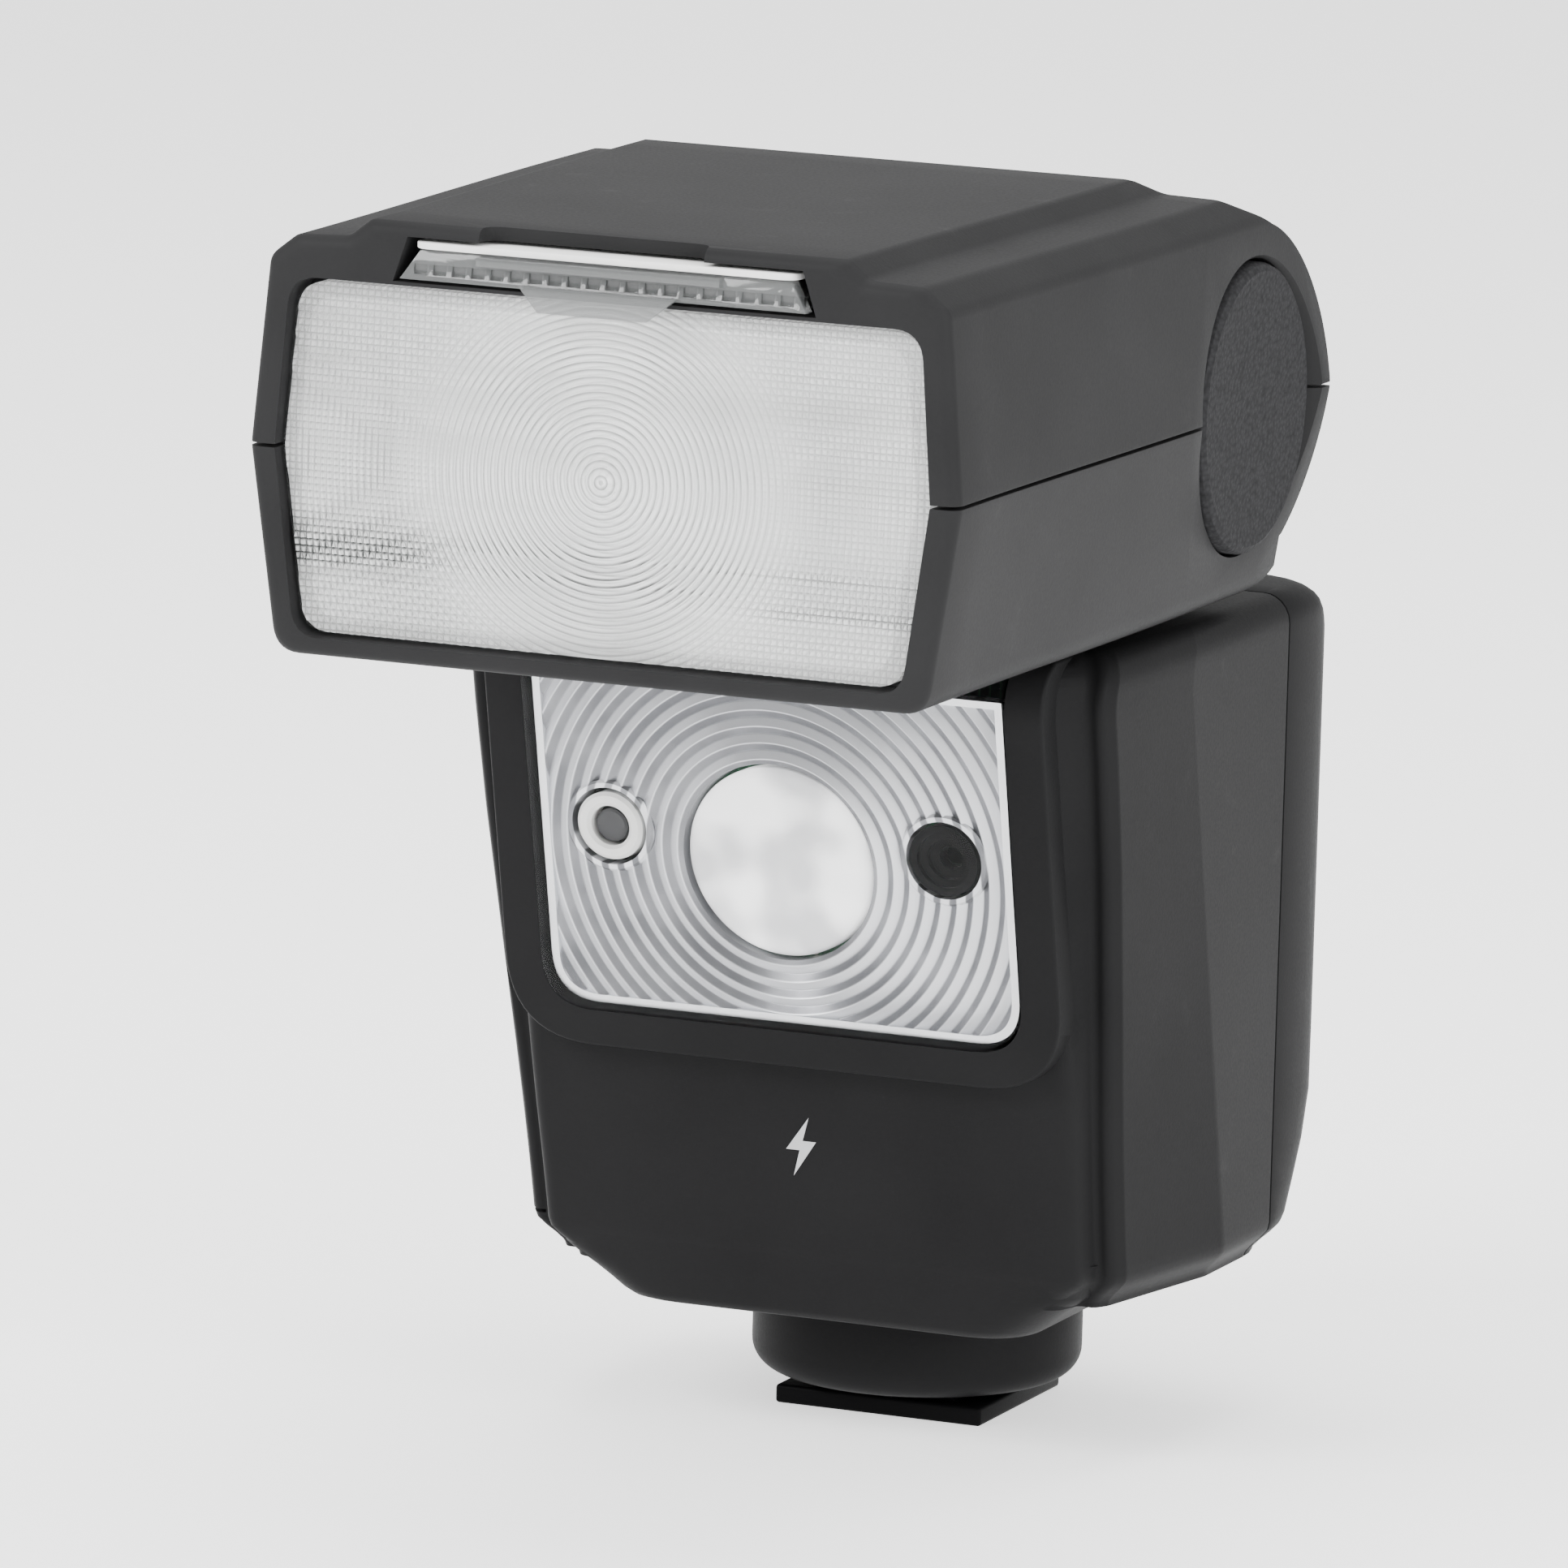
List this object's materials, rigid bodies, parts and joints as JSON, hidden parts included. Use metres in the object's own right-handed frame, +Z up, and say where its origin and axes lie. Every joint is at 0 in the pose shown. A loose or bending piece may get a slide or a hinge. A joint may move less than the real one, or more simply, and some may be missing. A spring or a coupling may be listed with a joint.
{
  "type": "camera flash",
  "caption": "Compact hot-shoe flash: tilting, swivelling head with Fresnel window, pull-out wide panel and bounce card, LED lamp on the body's front, rear screen and dial, locking shoe foot.",
  "frame": {"origin": "centre of the shoe foot's underside", "axes": "+Z up through the body, -Y out of the flash window, +X to the right as seen from the front"},
  "size_m": [0.0639, 0.0922, 0.1067],
  "materials": {
    "charcoal_plastic": "matt charcoal, fine spark texture",
    "grained_cap": "grained charcoal",
    "black_plastic": "black",
    "soft_key": "soft matt",
    "clear_plastic": "clear moulded plastic",
    "frosted_lens": "frosted",
    "tube_glass": "clear glass tube",
    "white_plastic": "white",
    "sensor_grey": "grey",
    "silver_reflector": "bright metallised",
    "bright_steel": "bright",
    "nickel_spring": "nickel plated",
    "contact_gold": "gold plated",
    "circuit_board": "green board",
    "battery_jacket": "printed film",
    "capacitor_sleeve": "black sleeve",
    "screen_glass": "grey-green display",
    "test_key_tint": "red tinted"
  },
  "bodies": {
    "body": {"main_housing": "charcoal_plastic", "rear_cover": "charcoal_plastic", "led_window": "clear_plastic", "led_reflector": "silver_reflector", "led_lens": "frosted_lens", "led_board": "circuit_board", "sensor_ring": "white_plastic", "sensor_disc": "sensor_grey", "sensor_tube": "black_plastic", "battery_1": "battery_jacket", "battery_2": "battery_jacket", "battery_3": "battery_jacket", "battery_4": "battery_jacket", "contact_plate_right": "nickel_spring", "main_board": "circuit_board", "main_capacitor": "capacitor_sleeve", "screen_module": "screen_glass", "screen_window": "clear_plastic", "key_board": "circuit_board", "swivel_retainer": "nickel_spring", "shoe_collar": "charcoal_plastic", "shoe_foot": "black_plastic", "contact_pin_1": "contact_gold", "contact_pin_2": "contact_gold", "contact_pin_3": "contact_gold", "contact_pin_4": "contact_gold"},
    "neck": {"swivel_neck": "charcoal_plastic", "tilt_shaft": "bright_steel", "tilt_detent": "nickel_spring"},
    "head": {"head_upper_shell": "charcoal_plastic", "head_lower_shell": "charcoal_plastic", "pivot_cap": "grained_cap", "release_surround": "charcoal_plastic", "fresnel_window": "clear_plastic", "card_tray": "black_plastic", "zoom_rod_1": "bright_steel", "zoom_rod_2": "bright_steel", "zoom_motor": "bright_steel", "trigger_board": "circuit_board"},
    "tilt_release_key": {"tilt_release": "grained_cap"},
    "wide_panel_body": {"wide_panel": "clear_plastic"},
    "bounce_card_body": {"bounce_card": "white_plastic"},
    "zoom_unit": {"zoom_carriage": "black_plastic", "flash_reflector": "silver_reflector", "flash_tube": "tube_glass"},
    "lead_screw_body": {"lead_screw": "bright_steel"},
    "dial": {"control_dial": "charcoal_plastic"},
    "dial_centre": {"dial_key": "soft_key"},
    "mode_key": {"key_mode": "soft_key"},
    "light_key": {"key_light": "soft_key"},
    "wireless_key": {"key_wireless": "soft_key"},
    "zoom_key": {"key_zoom": "soft_key"},
    "test_key": {"key_test": "test_key_tint"},
    "switch": {"power_switch": "soft_key"},
    "door": {"battery_door": "charcoal_plastic", "contact_plate_left": "nickel_spring"},
    "latch": {"door_latch": "soft_key"},
    "lever": {"lock_lever": "charcoal_plastic"},
    "pin": {"lock_pin": "bright_steel"}
  },
  "joints": [
    {"name": "swivel", "type": "hinge", "parent": "body", "child": "neck", "pos_m": [0, -0.0084, 0.0703], "axis": [0, 0, 1], "range_deg": [-90, 180]},
    {"name": "head_tilt", "type": "hinge", "parent": "neck", "child": "head", "pos_m": [0, -0.0084, 0.0878], "axis": [-1, 0, 0], "range_deg": [0, 90]},
    {"name": "wide_panel_slide", "type": "slide", "parent": "head", "child": "wide_panel_body", "axis": [0, -1, 0], "range_m": [0, 0.036]},
    {"name": "bounce_card_slide", "type": "slide", "parent": "head", "child": "bounce_card_body", "axis": [0, -1, 0], "range_m": [0, 0.036]},
    {"name": "zoom_travel", "type": "slide", "parent": "head", "child": "zoom_unit", "axis": [0, -1, 0], "range_m": [0, 0.009]},
    {"name": "lead_screw_turn", "type": "hinge", "parent": "head", "child": "lead_screw_body", "pos_m": [0.0247, -0.04, 0.088], "axis": [0, 1, 0], "range_deg": [0, 1080]},
    {"name": "tilt_release_press", "type": "slide", "parent": "head", "child": "tilt_release_key", "axis": [1, 0, 0], "range_m": [0, 0.0014], "stiffness_N_per_m": 600, "springref_m": -0.001},
    {"name": "control_dial_turn", "type": "hinge", "parent": "body", "child": "dial", "pos_m": [0, 0.0185, 0.03], "axis": [0, 1, 0], "continuous": true},
    {"name": "dial_centre_press", "type": "slide", "parent": "body", "child": "dial_centre", "axis": [0, -1, 0], "range_m": [0, 0.0008], "stiffness_N_per_m": 500, "springref_m": -0.001},
    {"name": "mode_key_press", "type": "slide", "parent": "body", "child": "mode_key", "axis": [0, -1, 0], "range_m": [0, 0.0008], "stiffness_N_per_m": 500, "springref_m": -0.001},
    {"name": "light_key_press", "type": "slide", "parent": "body", "child": "light_key", "axis": [0, -1, 0], "range_m": [0, 0.0008], "stiffness_N_per_m": 500, "springref_m": -0.001},
    {"name": "wireless_key_press", "type": "slide", "parent": "body", "child": "wireless_key", "axis": [0, -1, 0], "range_m": [0, 0.0008], "stiffness_N_per_m": 500, "springref_m": -0.001},
    {"name": "zoom_key_press", "type": "slide", "parent": "body", "child": "zoom_key", "axis": [0, -1, 0], "range_m": [0, 0.0008], "stiffness_N_per_m": 500, "springref_m": -0.001},
    {"name": "test_key_press", "type": "slide", "parent": "body", "child": "test_key", "axis": [0, -1, 0], "range_m": [0, 0.0008], "stiffness_N_per_m": 500, "springref_m": -0.001},
    {"name": "power_switch_slide", "type": "slide", "parent": "body", "child": "switch", "axis": [1, 0, 0], "range_m": [0, 0.004]},
    {"name": "battery_door_swing", "type": "hinge", "parent": "body", "child": "door", "pos_m": [-0.0286, 0.0018, 0.0335], "axis": [0, 0, -1], "range_deg": [0, 90]},
    {"name": "door_latch_slide", "type": "slide", "parent": "door", "child": "latch", "axis": [0, -1, 0], "range_m": [0, 0.003], "stiffness_N_per_m": 60, "springref_m": -0.001},
    {"name": "lock_lever_turn", "type": "hinge", "parent": "body", "child": "lever", "pos_m": [0, 0, 0.007], "axis": [0, 0, 1], "range_deg": [0, 25]},
    {"name": "lock_pin_travel", "type": "slide", "parent": "body", "child": "pin", "axis": [0, 0, -1], "range_m": [0, 0.0012]}
  ],
  "couplings": [
    {"joint": "lead_screw_turn", "follows": "zoom_travel", "rad_per_m": 2094.4},
    {"joint": "lock_lever_turn", "follows": "lock_pin_travel", "rad_per_m": 363.33}
  ]
}
